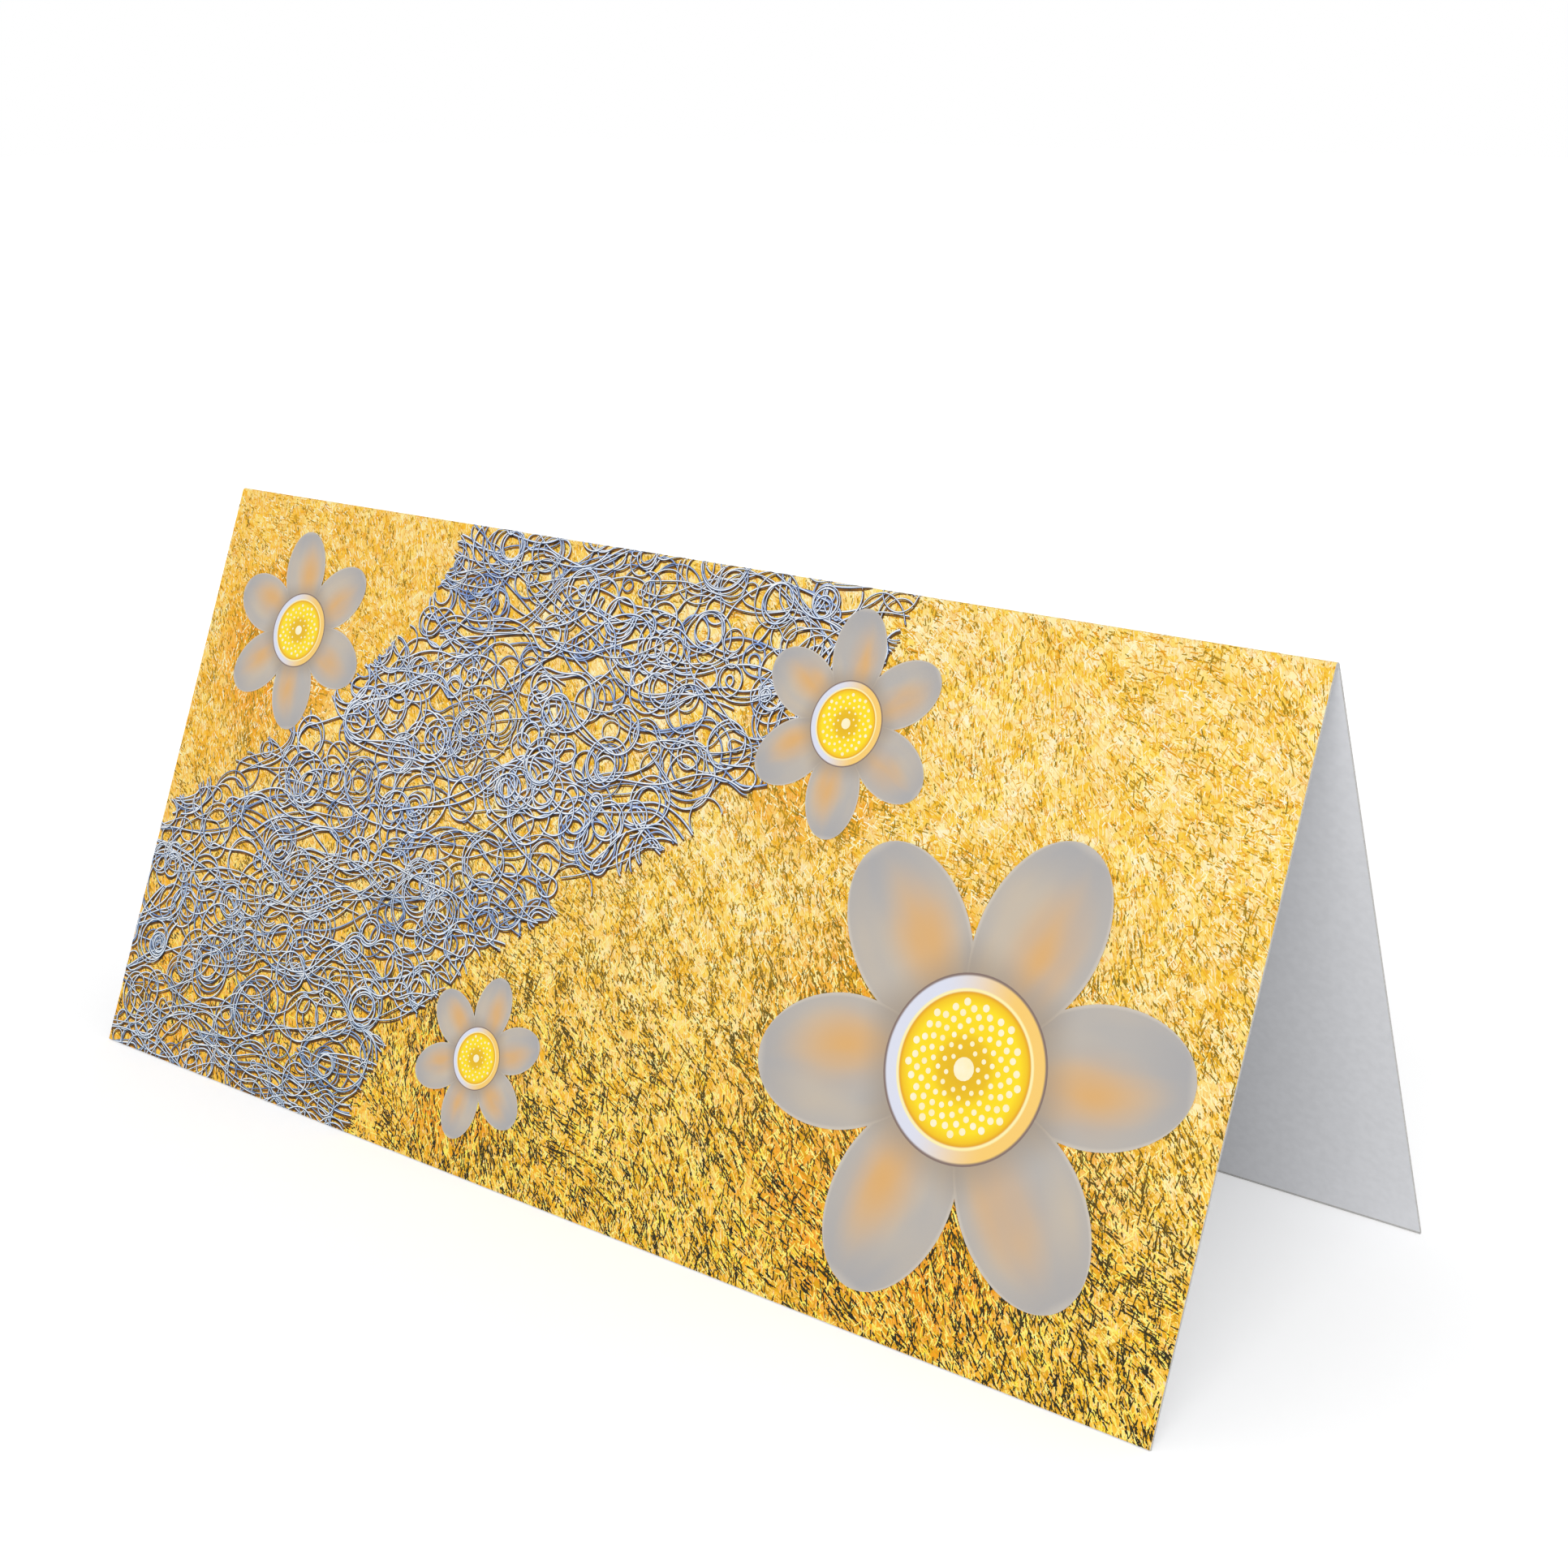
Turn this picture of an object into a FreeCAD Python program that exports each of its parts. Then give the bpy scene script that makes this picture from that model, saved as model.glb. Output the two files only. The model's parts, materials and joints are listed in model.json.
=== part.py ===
# A tent-folded greeting card: one sheet of picture board, creased once and folded along its long side,
# standing open on its two long cut edges. Millimetres.
# Frame: the origin is in the middle of the ground that the card covers, +X runs along the fold to the right
# of the printed panel, -Y points out of the printed panel and +Z is up.

import FreeCAD, Part

import math
import os

# Driving sizes
card_length = 210.0
panel_height = 99.0
board_thickness = 0.4
opening_angle = 44.0

# The crease: the board's inner ply turns round this radius, and the crease matrix has pressed a bead of
# board inwards, which stands this far beyond that radius
fold_inner_radius = 0.15
crease_bead_swell = 0.15

# The guillotine's knife rounds the lip of the face that it enters by, here the outer face
knife_lip_radius = 0.05

# What follows from them: the panels' lean, the fold's round outside, the bead inside it and a panel's
# straight part
half_angle = math.radians(opening_angle / 2.0)
fold_outer_radius = fold_inner_radius + board_thickness
bead_radius = fold_inner_radius + crease_bead_swell
straight_run = panel_height - fold_outer_radius

# How high the fold's centre is when the inner lips of both cut edges meet the ground
fold_centre_height = straight_run * math.cos(half_angle) - fold_inner_radius * math.sin(half_angle)


def panel_point(side, outward, downward):
    """A point of one panel's section: so far out from the fold's centre and so far down the panel."""
    y = side * (outward * math.cos(half_angle) + downward * math.sin(half_angle))
    z = fold_centre_height + outward * math.sin(half_angle) - downward * math.cos(half_angle)
    return FreeCAD.Vector(0.0, y, z)


def panel_edges(side):
    """One panel's outer face, knife lip, cut edge and inner face, from the fold down and back up."""
    bead_reach = math.sqrt(bead_radius ** 2 - fold_inner_radius ** 2)
    lip_turn = knife_lip_radius * (1.0 - math.sqrt(0.5))

    outer_top = panel_point(side, fold_outer_radius, 0.0)
    lip_top = panel_point(side, fold_outer_radius, straight_run - knife_lip_radius)
    lip_middle = panel_point(side, fold_outer_radius - lip_turn, straight_run - lip_turn)
    lip_bottom = panel_point(side, fold_outer_radius - knife_lip_radius, straight_run)
    foot = panel_point(side, fold_inner_radius, straight_run)
    inner_top = panel_point(side, fold_inner_radius, bead_reach)

    edges = [
        Part.makeLine(outer_top, lip_top),
        Part.Arc(lip_top, lip_middle, lip_bottom).toShape(),
        Part.makeLine(lip_bottom, foot),
        Part.makeLine(foot, inner_top),
    ]
    return edges, outer_top, inner_top


def card_section():
    """The folded sheet's section: two straight panels, the rounded fold over them and the bead inside it."""
    fold_crest = FreeCAD.Vector(0.0, 0.0, fold_centre_height + fold_outer_radius)
    bead_bottom = FreeCAD.Vector(0.0, 0.0, fold_centre_height - bead_radius)

    front_edges, front_outer_top, front_inner_top = panel_edges(-1.0)
    back_edges, back_outer_top, back_inner_top = panel_edges(1.0)
    back_edges.reverse()

    bead = Part.Arc(front_inner_top, bead_bottom, back_inner_top).toShape()
    fold = Part.Arc(back_outer_top, fold_crest, front_outer_top).toShape()
    return Part.Face(Part.Wire(front_edges + [bead] + back_edges + [fold]))


def folded_card():
    """The whole sheet, as long as the fold, square at both ends."""
    section = card_section()
    section.translate(FreeCAD.Vector(-card_length / 2.0, 0.0, 0.0))
    return section.extrude(FreeCAD.Vector(card_length, 0.0, 0.0))


os.makedirs("parts", exist_ok=True)
folded_card().exportStep("parts/folded_card.step")
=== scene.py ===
import json
import math

import bpy
import numpy as np
from mathutils import Matrix, Vector


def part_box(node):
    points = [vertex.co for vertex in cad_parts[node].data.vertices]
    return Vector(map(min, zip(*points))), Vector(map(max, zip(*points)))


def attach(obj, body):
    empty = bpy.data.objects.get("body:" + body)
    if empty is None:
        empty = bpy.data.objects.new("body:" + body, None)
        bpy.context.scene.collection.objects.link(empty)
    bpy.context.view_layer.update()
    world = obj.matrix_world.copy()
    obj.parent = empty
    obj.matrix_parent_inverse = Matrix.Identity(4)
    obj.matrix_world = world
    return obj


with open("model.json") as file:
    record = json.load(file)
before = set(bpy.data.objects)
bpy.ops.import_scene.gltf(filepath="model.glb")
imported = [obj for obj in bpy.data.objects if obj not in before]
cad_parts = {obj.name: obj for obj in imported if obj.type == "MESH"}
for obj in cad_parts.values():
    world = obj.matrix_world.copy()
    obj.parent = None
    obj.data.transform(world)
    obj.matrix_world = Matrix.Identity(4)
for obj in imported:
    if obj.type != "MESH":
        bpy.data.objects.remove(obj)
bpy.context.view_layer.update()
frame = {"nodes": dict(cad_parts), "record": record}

# The view: from the open right end of the card and a little above it, with the printed panel to the left.
camera_azimuth = math.radians(39.52)
camera_elevation = math.radians(16.37)
camera_roll = math.radians(-0.27)
camera_distance = 0.3898
camera_beside = 0.01276
camera_above = 0.05471
picture_pixels = 1932.0
focal_pixels = 3014.0
sensor_width = 36.0

level_right = Vector((math.cos(camera_azimuth), math.sin(camera_azimuth), 0.0))
towards_camera = Vector((
    math.sin(camera_azimuth) * math.cos(camera_elevation),
    -math.cos(camera_azimuth) * math.cos(camera_elevation),
    math.sin(camera_elevation),
))
level_up = towards_camera.cross(level_right)
picture_right = level_right * math.cos(camera_roll) + level_up * math.sin(camera_roll)
picture_up = level_up * math.cos(camera_roll) - level_right * math.sin(camera_roll)

camera_data = bpy.data.cameras.new("card_camera")
camera_data.sensor_width = sensor_width
camera_data.lens = sensor_width * focal_pixels / picture_pixels
camera_data.clip_start = 0.01
camera = bpy.data.objects.new("card_camera", camera_data)
bpy.context.scene.collection.objects.link(camera)
camera_place = towards_camera * camera_distance + picture_right * camera_beside + picture_up * camera_above
camera.matrix_world = Matrix((
    (picture_right.x, picture_up.x, towards_camera.x, camera_place.x),
    (picture_right.y, picture_up.y, towards_camera.y, camera_place.y),
    (picture_right.z, picture_up.z, towards_camera.z, camera_place.z),
    (0.0, 0.0, 0.0, 1.0),
))
bpy.context.scene.camera = camera


# The ground and the light: a white table under a pale sky, and one broad lamp in front of the printed panel.
# The table looks white where the sky reaches it and keeps its grey under the tent.
floor_half_width = 4.0
floor_bounce = 0.70
floor_seen_shade = 1.0
floor_seen_white = 0.25
floor_far_white = 0.55
whitening_start, whitening_end = 0.10, 0.45
sky_light = 0.64
lamp_power = 13.5
lamp_size = 1.2
lamp_place = Vector((0.77, -1.34, 0.82))
lamp_target = Vector((0.0, 0.0, 0.04))


def add_node(tree, kind, **settings):
    """A new node of one kind, with its plain settings made."""
    node = tree.nodes.new(kind)
    for name, value in settings.items():
        setattr(node, name, value)
    return node


def feed(tree, value, socket):
    """Gives a node's input its value, which is another node's output or a plain value."""
    if isinstance(value, bpy.types.NodeSocket):
        tree.links.new(value, socket)
    else:
        socket.default_value = value


def worked_out(tree, kind, operation, values):
    """The outputs of a node that works something out from values."""
    node = add_node(tree, kind, operation=operation)
    for value, socket in zip(values, node.inputs):
        feed(tree, value, socket)
    return node.outputs


def number(tree, operation, *values):
    """A number worked out from other numbers."""
    return worked_out(tree, "ShaderNodeMath", operation, values)["Value"]


def length_from(tree, operation, *values):
    """A length or a distance worked out from places."""
    return worked_out(tree, "ShaderNodeVectorMath", operation, values)["Value"]


def limits(tree, amount, low, high, at_low=0.0, at_high=1.0):
    """One value below a level, another above a second level, and a smooth change between them."""
    node = add_node(tree, "ShaderNodeMapRange", interpolation_type="SMOOTHSTEP")
    node.inputs["From Min"].default_value = low
    node.inputs["From Max"].default_value = high
    node.inputs["To Min"].default_value = at_low
    node.inputs["To Max"].default_value = at_high
    tree.links.new(amount, node.inputs["Value"])
    return node.outputs["Result"]


def seen_not_lighting(tree):
    """One where a ray looks straight, by reflection or through glass, and nothing where it only lights."""
    rays = add_node(tree, "ShaderNodeLightPath").outputs
    mirror_or_eye = number(tree, "MAXIMUM", rays["Is Camera Ray"], rays["Is Glossy Ray"])
    return number(tree, "MAXIMUM", mirror_or_eye, rays["Is Transmission Ray"])


def choose_seen(tree, lights, seen, kind):
    """An output of one kind that lights as one shader does and is seen as another."""
    choice = add_node(tree, "ShaderNodeMixShader")
    tree.links.new(seen_not_lighting(tree), choice.inputs[0])
    tree.links.new(lights.outputs[0], choice.inputs[1])
    tree.links.new(seen.outputs[0], choice.inputs[2])
    tree.links.new(choice.outputs[0], add_node(tree, kind).inputs["Surface"])


def white_table_finish():
    """A table that lights the card as a pale grey one would, and looks white away from the card's shadow."""
    material = bpy.data.materials.new("white_table")
    material.use_nodes = True
    tree = material.node_tree
    tree.nodes.clear()
    bounce = add_node(tree, "ShaderNodeBsdfDiffuse")
    bounce.inputs["Color"].default_value = (floor_bounce, floor_bounce, floor_bounce, 1.0)
    shade = add_node(tree, "ShaderNodeBsdfDiffuse")
    shade.inputs["Color"].default_value = (floor_seen_shade, floor_seen_shade, floor_seen_shade, 1.0)
    white = add_node(tree, "ShaderNodeEmission")
    away = length_from(tree, "LENGTH", add_node(tree, "ShaderNodeTexCoord").outputs["Object"])
    whitening = limits(tree, away, whitening_start, whitening_end, floor_seen_white, floor_far_white)
    tree.links.new(whitening, white.inputs["Strength"])
    seen = add_node(tree, "ShaderNodeAddShader")
    tree.links.new(shade.outputs[0], seen.inputs[0])
    tree.links.new(white.outputs[0], seen.inputs[1])
    choose_seen(tree, bounce, seen, "ShaderNodeOutputMaterial")
    return material


floor_mesh = bpy.data.meshes.new("floor")
floor_mesh.from_pydata(
    [(x * floor_half_width, y * floor_half_width, 0.0) for x, y in ((-1, -1), (1, -1), (1, 1), (-1, 1))],
    [],
    [(0, 1, 2, 3)],
)
floor_mesh.materials.append(white_table_finish())
floor = bpy.data.objects.new("floor", floor_mesh)
bpy.context.scene.collection.objects.link(floor)

sky = bpy.data.worlds.new("pale_sky")
sky.use_nodes = True
sky.node_tree.nodes.clear()
sky_lights = add_node(sky.node_tree, "ShaderNodeBackground")
sky_lights.inputs["Color"].default_value = (1.0, 1.0, 1.0, 1.0)
sky_lights.inputs["Strength"].default_value = sky_light
sky_seen = add_node(sky.node_tree, "ShaderNodeBackground")
sky_seen.inputs["Color"].default_value = (1.0, 1.0, 1.0, 1.0)
choose_seen(sky.node_tree, sky_lights, sky_seen, "ShaderNodeOutputWorld")
bpy.context.scene.world = sky
bpy.context.scene.view_settings.view_transform = "Standard"

lamp_data = bpy.data.lights.new("broad_lamp", "AREA")
lamp_data.energy = lamp_power
lamp_data.size = lamp_size
lamp = bpy.data.objects.new("broad_lamp", lamp_data)
bpy.context.scene.collection.objects.link(lamp)
lamp.location = lamp_place
lamp.rotation_euler = (lamp_target - lamp_place).to_track_quat("-Z", "Y").to_euler()


# The folded sheet: one piece of white picture board 0.4 mm thick, creased with a steel rule and folded.
# Its faces are smooth and faintly mottled; its guillotined edges show the board's own grey fibres.
def ink(red, green, blue):
    """A printed colour, given as a screen shows it, from 0 to 255."""
    shares = [c / 255.0 for c in (red, green, blue)]
    return tuple(s / 12.92 if s <= 0.04045 else ((s + 0.055) / 1.055) ** 2.4 for s in shares) + (1.0,)


def new_finish(name, roughness, gloss):
    """A material, its shader and its node tree."""
    material = bpy.data.materials.new(name)
    material.use_nodes = True
    tree = material.node_tree
    shader = tree.nodes["Principled BSDF"]
    shader.inputs["Roughness"].default_value = roughness
    shader.inputs["Specular IOR Level"].default_value = gloss
    return material, shader, tree


def place_from(tree, operation, *values):
    """A place worked out from other places."""
    return worked_out(tree, "ShaderNodeVectorMath", operation, values)["Vector"]


def grain(tree, where, size, detail=3.0, stretch=None):
    """Noise whose patches are about one size across, in the units of where."""
    noise = add_node(tree, "ShaderNodeTexNoise")
    noise.inputs["Scale"].default_value = 1.0 / size
    noise.inputs["Detail"].default_value = detail
    if stretch:
        where = place_from(tree, "MULTIPLY", where, stretch)
    tree.links.new(where, noise.inputs["Vector"])
    return noise.outputs["Fac"]


def ramp(tree, amount, *stops):
    """A colour that follows an amount, given as (amount, colour) stops."""
    node = add_node(tree, "ShaderNodeValToRGB")
    elements = node.color_ramp.elements
    while len(elements) < len(stops):
        elements.new(0.5)
    for element, (place, colour) in zip(elements, stops):
        element.position = place
        element.color = colour
    tree.links.new(amount, node.inputs["Fac"])
    return node.outputs["Color"]


def mix(tree, amount, first, second, kind="MIX"):
    """One colour laid over another by an amount."""
    node = add_node(tree, "ShaderNodeMix", data_type="RGBA", blend_type=kind)
    # The node's amount and two colours are its inputs 0, 6 and 7, and the mixed colour is its output 2
    for value, place in ((amount, 0), (first, 6), (second, 7)):
        feed(tree, value, node.inputs[place])
    return node.outputs[2]


def coordinates(tree, vector):
    """The coordinates of a place or direction, or the channels of a colour, each by its name X, Y or Z."""
    split = add_node(tree, "ShaderNodeSeparateXYZ")
    tree.links.new(vector, split.inputs[0])
    return split.outputs


def bump(tree, shader, height, depth):
    """Relief on a shader from a height between nothing and one, with its depth in metres."""
    node = add_node(tree, "ShaderNodeBump")
    node.inputs["Distance"].default_value = depth
    tree.links.new(height, node.inputs["Height"])
    tree.links.new(node.outputs["Normal"], shader.inputs["Normal"])


board_white = ink(246, 247, 250)
board_mottle = ink(241, 242, 245)
board_core = ink(218, 217, 214)
board_core_dark = ink(194, 192, 190)
board_mottle_size = 0.0012
board_fibre_size = 0.00016
board_tooth = 0.000006
cut_foot_height = 0.0004
cut_end_facing = (0.6, 0.8)


def picture_board_finish():
    """White mottled faces, and grey fibres on the cut ends and at the cut feet."""
    material, shader, tree = new_finish("picture_board", roughness=0.72, gloss=0.25)
    place = add_node(tree, "ShaderNodeTexCoord").outputs["Object"]
    facing = coordinates(tree, add_node(tree, "ShaderNodeNewGeometry").outputs["True Normal"])
    cut_end = limits(tree, number(tree, "ABSOLUTE", facing["X"]), *cut_end_facing)
    cut_foot = number(tree, "LESS_THAN", coordinates(tree, place)["Z"], cut_foot_height)
    cut = number(tree, "MAXIMUM", cut_end, cut_foot)

    mottle = grain(tree, place, board_mottle_size)
    fibre = grain(tree, place, board_fibre_size, detail=4.0)
    face = ramp(tree, mottle, (0.35, board_mottle), (0.65, board_white))
    core = ramp(tree, fibre, (0.35, board_core_dark), (0.6, board_core))
    tree.links.new(mix(tree, cut, face, core), shader.inputs["Base Color"])
    bump(tree, shader, fibre, board_tooth)
    return material


card = frame["nodes"]["folded_card"]
card.data.materials.clear()
card.data.materials.append(picture_board_finish())


# The printed ground: gold ink over the whole front panel, cut through at three edges and carried over the
# fold to its crest. It is a flat print of crumpled gold foil, palest at the top right, oranger at the left.
millimetre = 0.001

# The front panel as the frame has it: its lean, its flat run from the cut edge up to the fold, and the fold.
# Places on the print are in millimetres, right and up from the panel's lower left corner
mounts = {mount["name"]: mount for mount in frame["record"]["mounts"]}
card_low, card_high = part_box("folded_card")
face_out = Vector(mounts["front_face"]["axis"]).normalized()
face_point = Vector(mounts["front_face"]["pos_m"])
foot_point = Vector(mounts["front_foot"]["pos_m"])
face_up = face_out.cross(Vector((1.0, 0.0, 0.0)))
panel_lean = math.atan2(-face_out.y, face_out.z)
fold_radius = (face_out.dot(face_point) - face_out.z * card_high.z) / (1.0 - face_out.z) / millimetre
fold_height = card_high.z / millimetre - fold_radius
fold_centre = Vector((0.0, 0.0, fold_height * millimetre))
panel_run = face_up.dot(fold_centre - foot_point) / millimetre
left_edge = card_low.x / millimetre
print_width = (card_high.x - card_low.x) / millimetre
print_height = panel_run + fold_radius * panel_lean
knife_lip = 0.05

# How far the ground's ink stands above the board. Each later ink stands a little higher, so that all show
ground_lift = 0.012
ground_columns = 42
ground_rows = 20
fold_rows = 10

print_roughness = 0.50
print_gloss = 0.24
print_tooth_size = 0.16
print_tooth = 0.000004
facet_size, small_facet_size = 2.4, 0.95
facet_wobbles, facet_bend = 1.6, 0.9
foil_patch_size = 8.0
crease_break_size = 1.2
warm_foot_reach = (66.0, -4.0)
warm_left_reach = (125.0, 0.0)

gold_white = ink(255, 248, 206)
gold_pale = ink(255, 239, 156)
gold_light = ink(255, 225, 102)
gold_warm = ink(247, 196, 48)
gold_orange = ink(234, 158, 20)

# Each blossom's place on the print, its petals' length, and its turn in degrees. The shade that it casts on
# the gold is shifted by a share of that length
blossoms = (
    (171.5, 38.0, 34.0, 11.0),
    (139.5, 79.5, 16.5, 33.0),
    (23.0, 76.5, 17.0, 40.0),
    (86.0, 18.0, 13.0, 22.0),
)
shade_shift = (-0.16, -0.24)
blossom_shades = [
    (x + reach * shade_shift[0], y + reach * shade_shift[1], reach) for x, y, reach, _ in blossoms
]


def to_card(x, y, lift):
    """Points on the printed face, in metres, from millimetres right and up from its lower left corner."""
    x, y, lift = np.broadcast_arrays(np.asarray(x, float), np.asarray(y, float), np.asarray(lift, float))
    on_fold = np.clip((y - panel_run) / fold_radius, 0.0, panel_lean)
    lean = panel_lean - on_fold
    along = np.minimum(y, panel_run) - panel_run
    points = np.empty(x.shape + (3,))
    points[..., 0] = left_edge + x
    points[..., 1] = -np.sin(lean) * (fold_radius + lift) + along * math.cos(panel_lean)
    points[..., 2] = fold_height + np.cos(lean) * (fold_radius + lift) + along * math.sin(panel_lean)
    return points * millimetre


def printed_piece(name, x, y, lift, faces, finish, maps=None):
    """A mesh laid on the front panel; its own map says where each point is on the print."""
    mesh = bpy.data.meshes.new(name)
    faces = np.asarray(faces)
    points = to_card(x, y, lift)
    mesh.vertices.add(len(points))
    mesh.vertices.foreach_set("co", points.ravel())
    corners = faces.shape[1]
    mesh.loops.add(faces.size)
    mesh.loops.foreach_set("vertex_index", faces.ravel())
    mesh.polygons.add(len(faces))
    mesh.polygons.foreach_set("loop_start", np.arange(0, faces.size, corners))
    for title, u, v in maps or [("OFBake", x / print_width, y / print_height)]:
        layer = mesh.uv_layers.new(name=title)
        layer.data.foreach_set("uv", np.stack([u[faces.ravel()], v[faces.ravel()]], axis=1).ravel())
    mesh.update(calc_edges=True)
    mesh.validate()
    mesh.materials.append(finish)
    piece = bpy.data.objects.new(name, mesh)
    bpy.context.scene.collection.objects.link(piece)
    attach(piece, "root")


def quads(corner, across):
    """Four-cornered faces, from the first corner of each, on a sheet so many points across."""
    return np.stack([corner, corner + 1, corner + across + 1, corner + across], axis=1)


def grid(columns, rows):
    """All the faces of a sheet of points laid out row by row."""
    return quads((np.arange(rows - 1)[:, None] * columns + np.arange(columns - 1)[None, :]).ravel(), columns)


def print_place(tree):
    """Where a point is on the print, in millimetres from the panel's lower left corner."""
    share = add_node(tree, "ShaderNodeUVMap", uv_map="OFBake").outputs[0]
    return place_from(tree, "MULTIPLY", share, (print_width, print_height, 0.0))


def print_tooth_on(tree, shader, place):
    """The faint tooth that ink leaves on the board."""
    bump(tree, shader, grain(tree, place, print_tooth_size, detail=2.0), print_tooth)


def near(tree, place, x, y, inner, outer):
    """One within the inner distance of a point on the print, and nothing beyond the outer one."""
    return limits(tree, length_from(tree, "DISTANCE", place, (x, y, 0.0)), outer, inner)


def fibres(tree, place, heading, length, width):
    """Noise drawn out along a heading, in marks of about one length by one width."""
    turned = add_node(tree, "ShaderNodeVectorRotate", rotation_type="Z_AXIS")
    turned.inputs["Angle"].default_value = -math.radians(heading)
    tree.links.new(place, turned.inputs["Vector"])
    return grain(tree, turned.outputs[0], 1.0, detail=1.0, stretch=(1.0 / length, 1.0 / width, 1.0))


def facets(tree, place, size):
    """The flat facets of crumpled foil, about one size across: each one's tone, and how near its edge is."""
    wobble = add_node(tree, "ShaderNodeTexNoise")
    wobble.inputs["Scale"].default_value = facet_wobbles / size
    tree.links.new(place, wobble.inputs["Vector"])
    bend = (facet_bend * size, facet_bend * size, 0.0)
    bent = place_from(tree, "MULTIPLY_ADD", wobble.outputs["Color"], bend, place)
    found = []
    for feature, output in (("F1", "Color"), ("DISTANCE_TO_EDGE", "Distance")):
        cells = add_node(tree, "ShaderNodeTexVoronoi", voronoi_dimensions="2D", feature=feature)
        cells.inputs["Scale"].default_value = 1.0 / size
        tree.links.new(bent, cells.inputs["Vector"])
        found.append(cells.outputs[output])
    cell_colour, edge = found
    return coordinates(tree, cell_colour)["X"], edge


def gold_ground_finish():
    """Crumpled gold foil: pale facets between orange creases, warmer low down and at the left."""
    material, shader, tree = new_finish("gold_ground", print_roughness, print_gloss)
    place = print_place(tree)
    towards_foot = limits(tree, coordinates(tree, place)["Y"], *warm_foot_reach)
    towards_left = limits(tree, coordinates(tree, place)["X"], *warm_left_reach)
    patches = grain(tree, place, foil_patch_size, detail=2.0)
    breaks = grain(tree, place, crease_break_size, detail=2.0)
    tone, edge = facets(tree, place, facet_size)
    small_tone, small_edge = facets(tree, place, small_facet_size)
    foil = ramp(
        tree, small_tone, (0.05, gold_warm), (0.35, gold_light), (0.70, gold_pale), (0.95, gold_white),
    )
    broad_foil = ramp(tree, tone, (0.10, gold_warm), (0.45, gold_light), (0.80, gold_white))
    foil = mix(tree, 0.40, foil, broad_foil)
    foil = mix(tree, limits(tree, patches, 0.40, 0.62), mix(tree, 0.35, foil, gold_warm), foil)
    broken = limits(tree, breaks, 0.42, 0.60)
    for near_edge, reach, strength in ((small_edge, 0.09, 0.75), (edge, 0.05, 0.60)):
        crease = mix(tree, limits(tree, near_edge, reach, 0.0), (0.0, 0.0, 0.0, 1.0), broken)
        foil = mix(tree, crease, foil, mix(tree, strength, foil, gold_orange))
    foil = mix(tree, towards_foot, foil, mix(tree, 0.85, foil, gold_light, "MULTIPLY"))
    foil = mix(tree, towards_left, foil, mix(tree, 0.62, foil, gold_light, "MULTIPLY"))
    for heading, length, width, low, high, mark_ink, strength in (
        (-38.0, 2.6, 0.26, 0.58, 0.64, gold_orange, 0.60),
        (-72.0, 1.6, 0.22, 0.58, 0.64, gold_white, 0.60),
    ):
        mark = limits(tree, fibres(tree, place, heading, length, width), low, high)
        foil = mix(tree, mark, foil, mix(tree, strength, foil, mark_ink))
    for x, y, reach in blossom_shades:
        shade = near(tree, place, x, y, 0.60 * reach, 1.15 * reach)
        foil = mix(tree, shade, foil, mix(tree, 0.70, foil, gold_warm, "MULTIPLY"))
    tree.links.new(foil, shader.inputs["Base Color"])
    print_tooth_on(tree, shader, place)
    return material


ground_heights = np.concatenate([
    np.linspace(knife_lip, panel_run, ground_rows, endpoint=False),
    np.linspace(panel_run, print_height, fold_rows),
])
ground_x, ground_y = np.meshgrid(np.linspace(0.0, print_width, ground_columns), ground_heights)
printed_piece(
    "gold_ground", ground_x.ravel(), ground_y.ravel(), ground_lift,
    grid(ground_columns, len(ground_heights)), gold_ground_finish(),
)


# The foil's creases: short strokes of amber, pale and near-black ink on the ground, as light and shade fall
# in crumpled foil. They follow the crumples, and are closer and darker low down and under the blossoms. Each
# ink has a layer of its own, one spread high, and its strokes lie in most of it.
foil_lift = 0.018
foil_spread = 0.006
foil_layer_share = 0.9
foil_margin = 4.0
crease_heading = -38.0
crease_swing = 18.0
crease_spread = 10.0
crossing_share = 0.40
trail_length = 3.6
trail_length_spread = 0.5
trail_half_width = 0.05
stroke_turn_spread = 0.05
stroke_length_spread = 0.42
stroke_width_spread = 0.25
pale_stroke_length, deep_stroke_gain = 0.92, 0.16
stroke_petal_overlap = 0.8
stroke_drift_patch = 2.2
low_ink_reach = (70.0, 10.0)

# The creases turn with a field of chance whose hills are this far apart, and crowd together with two finer
# ones. The deepest gold loses a share of that clumping
lay_wave = 34.0
broad_wave, fine_wave = 8.0, 3.0
crumple_strength = 0.6
clumping_lost = 0.25

# The gold is deepest along the foot and under the blossoms, and less deep at the left
foot_depth, foot_fade = 1.22, 58.0
left_depth, left_end, left_fade = 0.40, 35.0, 60.0
shade_depth, shade_fade = 2.4, 2.1
foot_share, shade_share = 0.90, 0.45

# A petal is widest at its waist, a share of its length; its half width there is a share of its length too
petal_count = 6
petal_waist = 0.60
petal_slender = 0.275
petal_tip_share = 0.999


def petal_half_width(share):
    """Half of a petal's width at a share of its length, both in petal lengths."""
    rising = np.sin(0.5 * math.pi * np.clip(share / petal_waist, 0.0, 1.0))
    rounded = np.sqrt(np.clip(1.0 - ((share - petal_waist) / (1.0 - petal_waist)) ** 2, 0.0, 1.0))
    return petal_slender * np.where(share < petal_waist, rising, rounded)


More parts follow.
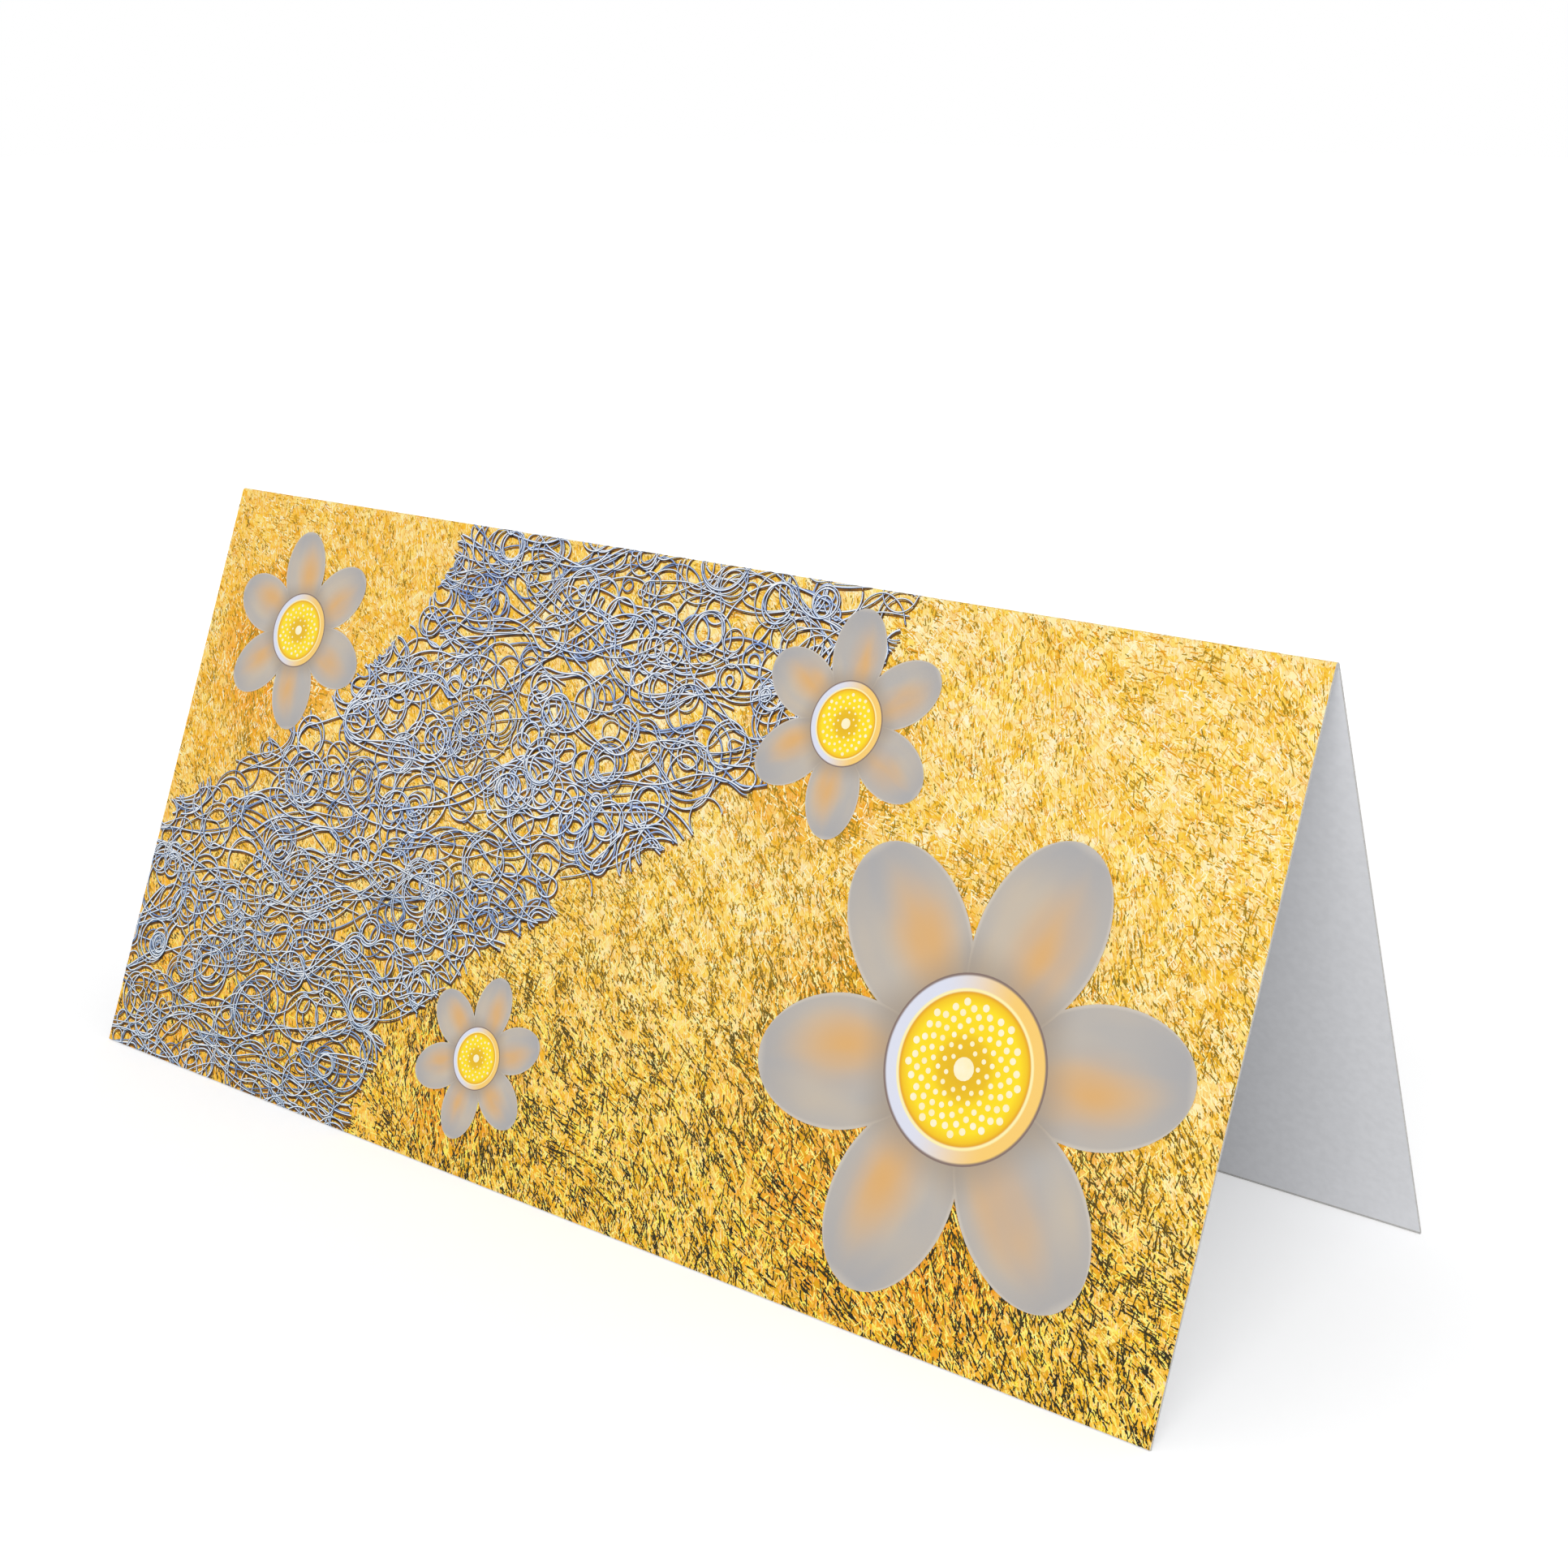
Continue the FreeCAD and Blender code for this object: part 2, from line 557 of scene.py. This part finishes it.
def on_petals(x, y, margin):
    """Whether places on the print lie on a petal, or within a margin round it."""
    found = np.zeros(x.shape, bool)
    for centre_x, centre_y, reach, turn in blossoms:
        away = np.hypot(x - centre_x, y - centre_y)
        sector = 2.0 * math.pi / petal_count
        bearing = np.arctan2(y - centre_y, x - centre_x) - math.radians(turn)
        bearing = (bearing + sector / 2.0) % sector - sector / 2.0
        along, aside = away * np.cos(bearing), away * np.abs(np.sin(bearing))
        share = np.clip(along / (reach + margin), 0.0, 1.0)
        half_width = petal_half_width(share) * reach + margin * (share < petal_tip_share)
        found |= (aside < half_width) & (along < reach + margin)
    return found


def hills(draw, wave, waves=16, wave_range=(0.7, 1.6)):
    """A smooth chance field over the print, mostly between -1 and 1, its hills about one wave apart."""
    heading = draw.uniform(0.0, 2.0 * math.pi, waves)
    pace = 2.0 * math.pi / (wave * draw.uniform(*wave_range, waves))
    start = draw.uniform(0.0, 2.0 * math.pi, waves)

    def at(x, y):
        along = x[:, None] * np.cos(heading) + y[:, None] * np.sin(heading)
        return np.sin(along * pace + start).sum(axis=1) * math.sqrt(2.0 / waves) * 0.75

    return at


foil_draw = np.random.default_rng(11)
lay_of_foil = hills(foil_draw, lay_wave)
broad_crumples, fine_crumples = hills(foil_draw, broad_wave), hills(foil_draw, fine_wave)


def crumples(x, y):
    """Where the foil's creases crowd together, mostly between -1 and 1."""
    return crumple_strength * broad_crumples(x, y) + crumple_strength * fine_crumples(x, y)


def depth_of_gold(x, y):
    """How deep the gold is printed at a place, from nothing at the pale top right to one at the bottom."""
    foot = np.clip(foot_depth - y / foot_fade, 0.0, 1.0)
    foot *= left_depth + (1.0 - left_depth) * np.clip((x - left_end) / left_fade, 0.0, 1.0)
    shade = np.zeros_like(x)
    for shade_x, shade_y, reach in blossom_shades:
        away = np.hypot(x - shade_x, y - shade_y) / reach
        shade = np.maximum(shade, np.clip(shade_depth - shade_fade * away, 0.0, 1.0))
    return np.clip(foot_share * foot + shade_share * shade, 0.0, 1.0)


def printed_tone(name, patch, first, second, low_first=None, low_second=None):
    """A printed tone that drifts between two inks, and between two other ones towards the bottom."""
    material, shader, tree = new_finish(name, print_roughness, print_gloss)
    place = print_place(tree)
    drift = grain(tree, place, patch)
    colour = ramp(tree, drift, (0.35, first), (0.65, second))
    if low_first:
        low = ramp(tree, drift, (0.35, low_first), (0.65, low_second))
        colour = mix(tree, limits(tree, coordinates(tree, place)["Y"], *low_ink_reach), colour, low)
    tree.links.new(colour, shader.inputs["Base Color"])
    print_tooth_on(tree, shader, place)
    return material


def strokes_in_trails(count, per_trail, crossing):
    """The places and headings of one ink's strokes, which lie over the gold in short straight trails."""
    trails = count // per_trail
    trail_x = foil_draw.uniform(-foil_margin, print_width + foil_margin, trails)
    trail_y = foil_draw.uniform(-foil_margin, print_height + foil_margin, trails)
    trail_heading = crease_heading + crease_swing * lay_of_foil(trail_x, trail_y)
    trail_heading += foil_draw.normal(0.0, crease_spread, trails)
    crosses = foil_draw.uniform(0.0, 1.0, trails) < crossing_share
    trail_heading = np.radians(np.where(crosses, foil_draw.uniform(*crossing, trails), trail_heading))
    trail = foil_draw.integers(0, trails, count)
    heading = trail_heading[trail] + foil_draw.normal(0.0, stroke_turn_spread, count)
    reach = trail_length * np.exp(foil_draw.normal(0.0, trail_length_spread, trails))
    run = foil_draw.uniform(-0.5, 0.5, count) * reach[trail]
    aside = foil_draw.normal(0.0, trail_half_width, count)
    x = trail_x[trail] + run * np.cos(trail_heading[trail]) - aside * np.sin(trail_heading[trail])
    y = trail_y[trail] + run * np.sin(trail_heading[trail]) + aside * np.cos(trail_heading[trail])
    return x, y, heading


def stroke_ink(name, count, per_trail, length, width, kept, clumping, crossing, lift, inks):
    """Prints one ink's strokes; the share of them that is kept goes from one in pale gold to one in deep."""
    x, y, heading = strokes_in_trails(count, per_trail, crossing)
    deep = depth_of_gold(x, y)
    chance = kept[0] + (kept[1] - kept[0]) * deep
    chance *= 1.0 + clumping * (1.0 - clumping_lost * deep) * crumples(x, y)
    stays = (foil_draw.uniform(0.0, 1.0, count) < chance) & ~on_petals(x, y, -stroke_petal_overlap)
    stays &= (x > 0.0) & (x < print_width) & (y > 0.0) & (y < print_height)
    x, y, deep, heading = x[stays], y[stays], deep[stays], heading[stays]
    count = len(x)

    half_length = 0.5 * length * np.exp(foil_draw.normal(0.0, stroke_length_spread, count))
    half_length *= pale_stroke_length + deep_stroke_gain * deep
    half_width = 0.5 * width * np.exp(foil_draw.normal(0.0, stroke_width_spread, (2, count)))
    along = np.stack([np.cos(heading), np.sin(heading)]) * half_length
    across = np.stack([-np.sin(heading), np.cos(heading)])
    centre = np.stack([x, y])
    corners = np.stack([
        centre - along - across * half_width[0], centre + along - across * half_width[1],
        centre + along + across * half_width[1], centre - along + across * half_width[0],
    ], axis=-1)
    height = np.repeat(foil_lift + (lift + foil_draw.uniform(0.0, foil_layer_share, count)) * foil_spread, 4)
    x = np.clip(corners[0].ravel(), 0.0, print_width)
    y = np.clip(corners[1].ravel(), knife_lip, print_height)
    faces = np.arange(4 * count).reshape(-1, 4)
    printed_piece(name, x, y, height, faces, printed_tone(name, stroke_drift_patch, *inks))


stroke_ink(
    "foil_amber", count=150000, per_trail=4, length=0.64, width=0.13,
    kept=(0.34, 0.66), clumping=0.85, crossing=(-90.0, 90.0), lift=0.0,
    inks=(ink(224, 150, 8), ink(242, 188, 30), ink(202, 146, 6), ink(230, 176, 12)),
)
stroke_ink(
    "foil_pale", count=94000, per_trail=3, length=0.68, width=0.135,
    kept=(0.18, 0.62), clumping=-0.35, crossing=(40.0, 120.0), lift=1.0,
    inks=(ink(255, 252, 218), ink(255, 243, 168), ink(255, 248, 144), ink(255, 236, 78)),
)
stroke_ink(
    "foil_dark", count=156000, per_trail=7, length=0.48, width=0.142,
    kept=(0.16, 0.84), clumping=0.80, crossing=(-105.0, -60.0), lift=2.0,
    inks=(ink(142, 116, 6), ink(192, 146, 20), ink(14, 13, 2), ink(56, 48, 4)),
)


# The thread ribbon: silver-blue looped threads, printed as a broad ribbon that sweeps up the left of the
# panel between two cut edges. Each has a dark edge, a blue body, a pale lit side and a shadow on the gold.
thread_lift = 0.042
thread_spread = 0.028
run_rise = 0.012
thread_drift_patch = 3.0

# Across a thread: half its width, its dark edges, which are wider on the side away from the light, and the
# middle of its body, which leans away from the light, so that the pale half is the wider one
thread_half_width = 0.162
thread_width_range = (0.78, 1.15)
thread_edge = 0.068
thread_edge_lean = 0.056
thread_body_lean = 0.03
thread_points = 5
light_heading = (-0.55, 0.835)
lit_from = 0.05
buried_share = 0.22

# The threads' shadow lies on the gold, just above the three inks of its creases
thread_shadow_shift = (0.20, -0.33)
thread_shadow_lift = foil_lift + 3.1 * foil_spread
shadow_drift_patch = 2.0

# How a thread is laid: loops of chance size, and runs that turn back to the level between them
path_length = (60.0, 130.0)
path_step = 0.25
start_turn_spread = 0.4
same_side_share = 0.6
loop_share = 0.50
loop_radius = 2.5
loop_radius_spread = 0.34
loop_radius_range = (1.0, 5.0)
loop_turns = (0.6, 1.25)
run_radius_range = (5.0, 30.0)
run_length_range = (3.0, 13.0)
run_lean_spread = 0.30
run_levelling = 0.22
bend_ease = 0.35

# How many threads share a path, how far apart they lie and how they drift from it
section_step = 0.50
threads_together = (1, 1, 1, 1, 2, 3)
thread_gap = 0.45
thread_drift = 1.1
drift_waves = (20.0, 90.0)

# The ribbon, and the plan by which each new path is laid where there are fewest threads yet
ribbon_foot = (-34.0, 62.0)
ribbon_head = (56.0, 146.0)
fray = (-0.6, 0.5)
ribbon_overrun = 0.2
thread_petal_overlap = 0.6
shortest_end = 9
thread_total = 19500.0
path_choices = 5
start_margin = 3.0
plan_cell = 4.0
plan_margin = 6.0
plan_crowded = 45.0


def ribbon_edges(y):
    """Where the ribbon's left and right edges are at a height on the panel."""
    sweep = 0.5 - 0.5 * np.cos(math.pi * y / print_height)
    return tuple(foot + (head - foot) * sweep for foot, head in zip(ribbon_foot, ribbon_head))


def in_ribbon(x, y):
    """Whether places are on the panel and between the ribbon's edges."""
    left, right = ribbon_edges(y)
    return (x > np.maximum(left, 0.0)) & (x < right) & (y > 0.0) & (y < print_height)


def wander(draw, along, shortest, longest, waves=5):
    """A smooth chance value along a length, mostly between -1 and 1."""
    value = np.zeros_like(along)
    for _ in range(waves):
        wave = math.exp(draw.uniform(math.log(shortest), math.log(longest)))
        value += np.sin(along * (2.0 * math.pi / wave) + draw.uniform(0.0, 2.0 * math.pi))
    return value * math.sqrt(2.0 / waves) * 0.7


def looped_path(draw, x, y, length):
    """One thread as it was laid: loops of chance size, and level runs between them."""
    heading = draw.choice((0.0, math.pi)) + draw.normal(0.0, start_turn_spread)
    side = draw.choice((-1.0, 1.0))
    bend = 0.0
    points = []
    while len(points) * path_step < length:
        looping = draw.uniform() < loop_share
        side = side if draw.uniform() < same_side_share else -side
        if looping:
            radius = loop_radius * math.exp(draw.normal(0.0, loop_radius_spread))
            radius = float(np.clip(radius, *loop_radius_range))
            stretch = radius * draw.uniform(*loop_turns) * 2.0 * math.pi
        else:
            radius = draw.uniform(*run_radius_range)
            stretch = draw.uniform(*run_length_range)
        level = draw.normal(0.0, run_lean_spread) + (0.0 if math.cos(heading) > 0.0 else math.pi)
        levelling = 0.0 if looping else run_levelling
        for _ in range(int(stretch / path_step)):
            off_level = (level - heading + math.pi) % (2.0 * math.pi) - math.pi
            bend += (side / radius + levelling * off_level - bend) * bend_ease
            heading += bend * path_step
            x += math.cos(heading) * path_step
            y += math.sin(heading) * path_step
            points.append((x, y))
    return np.array(points).T


def evenly(x, y, step):
    """The same line with its points one step apart, and how far along each is."""
    along = np.concatenate([[0.0], np.cumsum(np.hypot(np.diff(x), np.diff(y)))])
    places = np.arange(0.0, along[-1], step)
    return np.interp(places, along, x), np.interp(places, along, y), places


def line_left(x, y):
    """The direction to the left of a line, at each of its points."""
    heading = np.arctan2(np.gradient(y), np.gradient(x))
    return -np.sin(heading), np.cos(heading)


def without_scraps(kept):
    """The same steps of a line without the runs of them that are too short to hold in the ribbon."""
    changes = np.flatnonzero(np.diff(np.concatenate([[False], kept, [False]])))
    for start, end in zip(changes[::2], changes[1::2]):
        if end - start < shortest_end:
            kept[start:end] = False
    return kept


def cells_of(x, y):
    """The cells of the laying plan that places on the print are in."""
    column = np.clip((x + plan_margin) / plan_cell, 0, laid.shape[0] - 1).astype(int)
    return column, np.clip((y + plan_margin) / plan_cell, 0, laid.shape[1] - 1).astype(int)


thread_draw = np.random.default_rng(5)
laid = np.zeros((
    int((ribbon_head[1] + 2.0 * plan_margin) / plan_cell),
    int((print_height + 2.0 * plan_margin) / plan_cell),
))
strands = []
laid_length = 0.0
while laid_length < thread_total:
    least_crowded, path = math.inf, None
    for _ in range(path_choices):
        start_y = thread_draw.uniform(-start_margin, print_height + start_margin)
        start_left, start_right = ribbon_edges(start_y)
        start_x = thread_draw.uniform(max(start_left, -start_margin), start_right)
        tried = looped_path(thread_draw, start_x, start_y, thread_draw.uniform(*path_length))
        crowded = np.where(in_ribbon(*tried), laid[cells_of(*tried)], plan_crowded).mean()
        if crowded < least_crowded:
            least_crowded, path = crowded, tried
    for strand in range(thread_draw.choice(threads_together)):
        x, y, along = evenly(*path, section_step)
        left_x, left_y = line_left(x, y)
        aside = thread_gap * strand + thread_drift * wander(thread_draw, along, *drift_waves)
        x, y = x + left_x * aside, y + left_y * aside
        laid_length += in_ribbon(x, y).sum() * section_step
        np.add.at(laid, cells_of(x, y), 1.0)
        strands.append((x, y))
thread_draw.shuffle(strands)

lane_faces = {"thread_shade": [], "thread_body": [], "thread_light": []}
lane_x, lane_y, lane_height = [], [], []
shadow_x, shadow_y, shadow_faces = [], [], []
points_so_far = 0
for order, (x, y) in enumerate(strands):
    left_x, left_y = line_left(x, y)
    lit = left_x * light_heading[0] + left_y * light_heading[1]
    half = thread_half_width * thread_draw.uniform(*thread_width_range)
    left_dark = thread_edge - thread_edge_lean * lit
    right_dark = thread_edge + thread_edge_lean * lit
    rims = np.full_like(x, half)
    offsets = np.stack([rims, rims - left_dark, -thread_body_lean * lit, right_dark - rims, -rims], axis=1)
    top_share = order / len(strands)
    rise = thread_lift + thread_spread * top_share + np.linspace(0.0, run_rise, len(x))
    middle_x = (x[:-1] + x[1:]) / 2.0
    middle_y = (y[:-1] + y[1:]) / 2.0
    left_cut, right_cut = ribbon_edges(middle_y)
    left_fray, right_fray = thread_draw.uniform(*fray, 2)
    kept = middle_x > np.maximum(left_cut + left_fray, -ribbon_overrun)
    kept &= middle_x < right_cut + right_fray
    kept &= (middle_y > -ribbon_overrun) & (middle_y < print_height + ribbon_overrun)
    kept = without_scraps(kept) & ~on_petals(middle_x, middle_y, -thread_petal_overlap)
    starts = np.flatnonzero(kept)
    lane_x.append((x[:, None] + left_x[:, None] * offsets).ravel())
    lane_y.append((y[:, None] + left_y[:, None] * offsets).ravel())
    lane_height.append(np.repeat(rise, thread_points))
    # Across a thread lie a dark edge, the two halves of its body and a dark edge. The half that is turned to
    # the light is pale, but not in the threads laid first, which lie under the others
    first = (points_so_far + starts) * thread_points
    lanes = [quads(first + lane, thread_points) for lane in range(thread_points - 1)]
    lane_faces["thread_shade"] += [lanes[0], lanes[3]]
    for faces, side_lit in ((lanes[1], lit[starts]), (lanes[2], -lit[starts])):
        bright = (side_lit > lit_from) & (top_share > buried_share)
        lane_faces["thread_light"].append(faces[bright])
        lane_faces["thread_body"].append(faces[~bright])

    sides = np.array([half, -half])
    shadow_x.append((x[:, None] + left_x[:, None] * sides + thread_shadow_shift[0]).ravel())
    shadow_y.append((y[:, None] + left_y[:, None] * sides + thread_shadow_shift[1]).ravel())
    shadow_faces.append(quads((points_so_far + starts) * 2, 2))
    points_so_far += x.size


def thread_piece(name, x, y, lift, faces, finish):
    """A printed piece of only the points that its faces use, trimmed to the panel."""
    faces = np.concatenate(faces)
    used, renumbered = np.unique(faces, return_inverse=True)
    x = np.clip(x[used], 0.0, print_width)
    y = np.clip(y[used], knife_lip, print_height)
    printed_piece(name, x, y, lift[used], renumbered.reshape(faces.shape), finish)


lane_x, lane_y, lane_height = (np.concatenate(values) for values in (lane_x, lane_y, lane_height))
for title, *inks in (
    ("thread_shade", ink(12, 18, 32), ink(52, 68, 98), ink(12, 18, 28), ink(46, 62, 82)),
    ("thread_body", ink(124, 151, 210), ink(194, 214, 246), ink(110, 138, 188), ink(178, 202, 232)),
    ("thread_light", ink(220, 234, 254), ink(254, 255, 255), ink(212, 230, 250), ink(252, 254, 255)),
):
    finish = printed_tone(title, thread_drift_patch, *inks)
    thread_piece(title, lane_x, lane_y, lane_height, lane_faces[title], finish)
shadow_x, shadow_y = np.concatenate(shadow_x), np.concatenate(shadow_y)
thread_piece(
    "thread_shadow", shadow_x, shadow_y, np.full_like(shadow_x, thread_shadow_lift), shadow_faces,
    printed_tone("thread_shadow", shadow_drift_patch, ink(76, 49, 6), ink(138, 88, 14)),
)


# The blossoms: one large and three small, printed as frosted petals with an amber glow. Each has a yellow
# eye with a pale rim and a spiral of cream dots.
petal_lift = 0.090
petal_step = 0.006
petal_root = 0.16
petal_tip_turn = math.radians(87.0)
petal_columns = 13
petal_rise_rows = 14
petal_tip_rows = 14
eye_lift = 0.104
eye_share = 0.375
eye_rings = 20
eye_spokes = 72

# An eye's dots stand on a spiral that fills it to a share of its radius. There are more in a larger blossom,
# they grow outwards, and one larger dot takes the place of the innermost ones
dot_lift = 0.112
dot_corners = 16
golden_angle = math.radians(137.508)
dot_field = 0.70
fewest_dots, dots_per_millimetre = 22, 2.6
dots_left_out = 7.0
dot_radius, dot_growth = 0.026, 0.016
middle_dot_radius = 0.125
dot_drift_patch = 3.0

# On the maps of the small pieces: the margin round each petal, and each eye's left side, bottom and size
petal_cell_margin = 0.03
eye_cells = ((0.0, 0.0, 0.68), (0.70, 0.0, 0.29), (0.70, 0.31, 0.29), (0.70, 0.62, 0.29))

frost = ink(199, 186, 169)
frost_cool = ink(183, 178, 173)
frost_pale = ink(212, 203, 190)
frost_tip = ink(169, 168, 170)
frost_shade = ink(158, 140, 120)
amber_glow = ink(222, 174, 112)


def own_map(tree, title):
    """Where a point is on one of a piece's own maps."""
    return add_node(tree, "ShaderNodeUVMap", uv_map=title).outputs[0]


def from_point(tree, title, point, reach):
    """How far a piece's map is from a point of it, in reaches."""
    offset = place_from(tree, "SUBTRACT", own_map(tree, title), (*point, 0.0))
    return length_from(tree, "LENGTH", place_from(tree, "DIVIDE", offset, (*reach, 1.0)))


def frosted_finish():
    """Frosted petals: clouded, with an amber glow, a pale rim, and brown shade by the eye."""
    material, shader, tree = new_finish("frosted_petals", roughness=0.42, gloss=0.35)
    along = coordinates(tree, own_map(tree, "petal"))["X"]
    # Only the distance across the petal counts, because the reach along it is so long
    middle_line = from_point(tree, "petal", (0.0, 0.5), (1000.0, 0.5))
    clouds = grain(tree, own_map(tree, "OFBake"), 0.12, detail=2.0)
    glass = ramp(tree, clouds, (0.38, frost_cool), (0.62, frost))
    glow = limits(tree, from_point(tree, "petal", (0.55, 0.38), (0.40, 0.40)), 1.0, 0.0)
    glow_ink = mix(tree, limits(tree, clouds, 0.30, 0.60), mix(tree, 0.45, glass, amber_glow), amber_glow)
    glass = mix(tree, limits(tree, along, 0.66, 1.0), glass, mix(tree, 0.80, glass, frost_tip))
    glass = mix(tree, glow, glass, glow_ink)
    glass = mix(tree, limits(tree, middle_line, 0.62, 1.0), glass, mix(tree, 0.55, glass, frost_cool))
    glass = mix(tree, limits(tree, middle_line, 0.93, 0.985), glass, mix(tree, 0.65, glass, frost_pale))
    glass = mix(tree, limits(tree, along, 0.955, 1.0), glass, mix(tree, 0.50, glass, frost_pale))
    glass = mix(tree, limits(tree, along, 0.52, 0.30), glass, mix(tree, 0.70, glass, frost_shade))
    tree.links.new(glass, shader.inputs["Base Color"])
    return material


def eye_finish():
    """A yellow eye, golden in the middle, with a glint and a pale rim that warms towards the right."""
    material, shader, tree = new_finish("yellow_eyes", roughness=0.36, gloss=0.40)
    away = from_point(tree, "eye", (0.5, 0.5), (0.5, 0.5))
    right = coordinates(tree, own_map(tree, "eye"))["X"]
    sunny = ramp(
        tree, away, (0.0, ink(226, 176, 6)), (0.30, ink(238, 192, 6)), (0.40, ink(254, 220, 10)),
        (0.66, ink(255, 226, 22)), (0.76, ink(246, 198, 12)), (0.80, ink(228, 158, 20)),
    )
    rim = mix(tree, limits(tree, right, 0.25, 0.75), ink(222, 225, 240), ink(250, 206, 112))
    rim = mix(tree, limits(tree, away, 0.955, 0.985), rim, ink(132, 112, 104))
    glint = ramp(
        tree, away, (0.795, ink(0, 0, 0)), (0.812, ink(255, 255, 255)), (0.828, ink(255, 255, 255)),
        (0.845, ink(0, 0, 0)),
    )
    colour = mix(tree, limits(tree, away, 0.80, 0.84), sunny, rim)
    tree.links.new(mix(tree, glint, colour, ink(255, 243, 178)), shader.inputs["Base Color"])
    return material


petal_shares = np.concatenate([
    np.linspace(petal_root, petal_waist, petal_rise_rows, endpoint=False),
    petal_waist + (1.0 - petal_waist) * np.sin(np.linspace(0.0, petal_tip_turn, petal_tip_rows)),
])
petal_u, petal_v = np.meshgrid(petal_shares, np.linspace(-1.0, 1.0, petal_columns), indexing="ij")
petal_u, petal_v = petal_u.ravel(), petal_v.ravel()
petal_parts = []
for row, (centre_x, centre_y, reach, turn) in enumerate(blossoms):
    for petal in range(petal_count):
        heading = math.radians(turn + 360.0 / petal_count * petal)
        along = petal_u * reach
        aside = petal_v * petal_half_width(petal_u) * reach
        petal_parts.append((
            centre_x + along * math.cos(heading) - aside * math.sin(heading),
            centre_y + along * math.sin(heading) + aside * math.cos(heading),
            np.full_like(along, petal_lift + petal_step * (petal % 2)),
            (petal + petal_cell_margin + (1.0 - 2.0 * petal_cell_margin) * petal_u) / petal_count,
            (row + 0.5 + (0.5 - petal_cell_margin) * petal_v) / len(blossoms),
            petal_u,
            0.5 + 0.5 * petal_v,
        ))
petal_x, petal_y, petal_z, bake_u, bake_v, own_u, own_v = map(np.concatenate, zip(*petal_parts))
petal_grid = grid(petal_columns, len(petal_shares))
petal_faces = np.concatenate([petal_grid + petal_u.size * part for part in range(len(petal_parts))])
printed_piece(
    "petals", petal_x, petal_y, petal_z, petal_faces, frosted_finish(),
    maps=[("OFBake", bake_u, bake_v), ("petal", own_u, own_v)],
)

ring_share, spoke_turn = np.meshgrid(
    np.linspace(0.0, 1.0, eye_rings), np.linspace(0.0, 2.0 * math.pi, eye_spokes + 1), indexing="ij",
)
eye_u = (0.5 + 0.5 * ring_share * np.cos(spoke_turn)).ravel()
eye_v = (0.5 + 0.5 * ring_share * np.sin(spoke_turn)).ravel()
eye_grid = grid(eye_spokes + 1, eye_rings)
corner_turn = 2.0 * math.pi * np.arange(dot_corners) / dot_corners
eye_parts = []
dot_parts = []
for (centre_x, centre_y, reach, turn), (cell_u, cell_v, cell) in zip(blossoms, eye_cells):
    radius = reach * eye_share
    eye_parts.append((
        centre_x + radius * (2.0 * eye_u - 1.0), centre_y + radius * (2.0 * eye_v - 1.0),
        cell_u + cell * eye_u, cell_v + cell * eye_v, eye_u, eye_v,
    ))
    dots = int(fewest_dots + dots_per_millimetre * reach)
    order = np.arange(dots)
    spiral = radius * dot_field * np.sqrt((order + dots_left_out) / (dots + dots_left_out - 1.0))
    bearing = golden_angle * order + math.radians(turn)
    dot_size = radius * (dot_radius + dot_growth * order / dots)
    dot_parts.append((
        (centre_x + spiral * np.cos(bearing))[:, None] + dot_size[:, None] * np.cos(corner_turn),
        (centre_y + spiral * np.sin(bearing))[:, None] + dot_size[:, None] * np.sin(corner_turn),
    ))
    dot_parts.append((
        centre_x + middle_dot_radius * radius * np.cos(corner_turn)[None, :],
        centre_y + middle_dot_radius * radius * np.sin(corner_turn)[None, :],
    ))
eye_x, eye_y, bake_u, bake_v, own_u, own_v = map(np.concatenate, zip(*eye_parts))
eye_faces = np.concatenate([eye_grid + eye_u.size * part for part in range(len(eye_parts))])
printed_piece(
    "eyes", eye_x, eye_y, eye_lift, eye_faces, eye_finish(),
    maps=[("OFBake", bake_u, bake_v), ("eye", own_u, own_v)],
)
dot_x, dot_y = (np.concatenate(part).ravel() for part in zip(*dot_parts))
printed_piece(
    "eye_dots", dot_x, dot_y, dot_lift, np.arange(dot_x.size).reshape(-1, dot_corners),
    printed_tone("eye_dots", dot_drift_patch, ink(255, 248, 216), ink(254, 240, 188)),
)
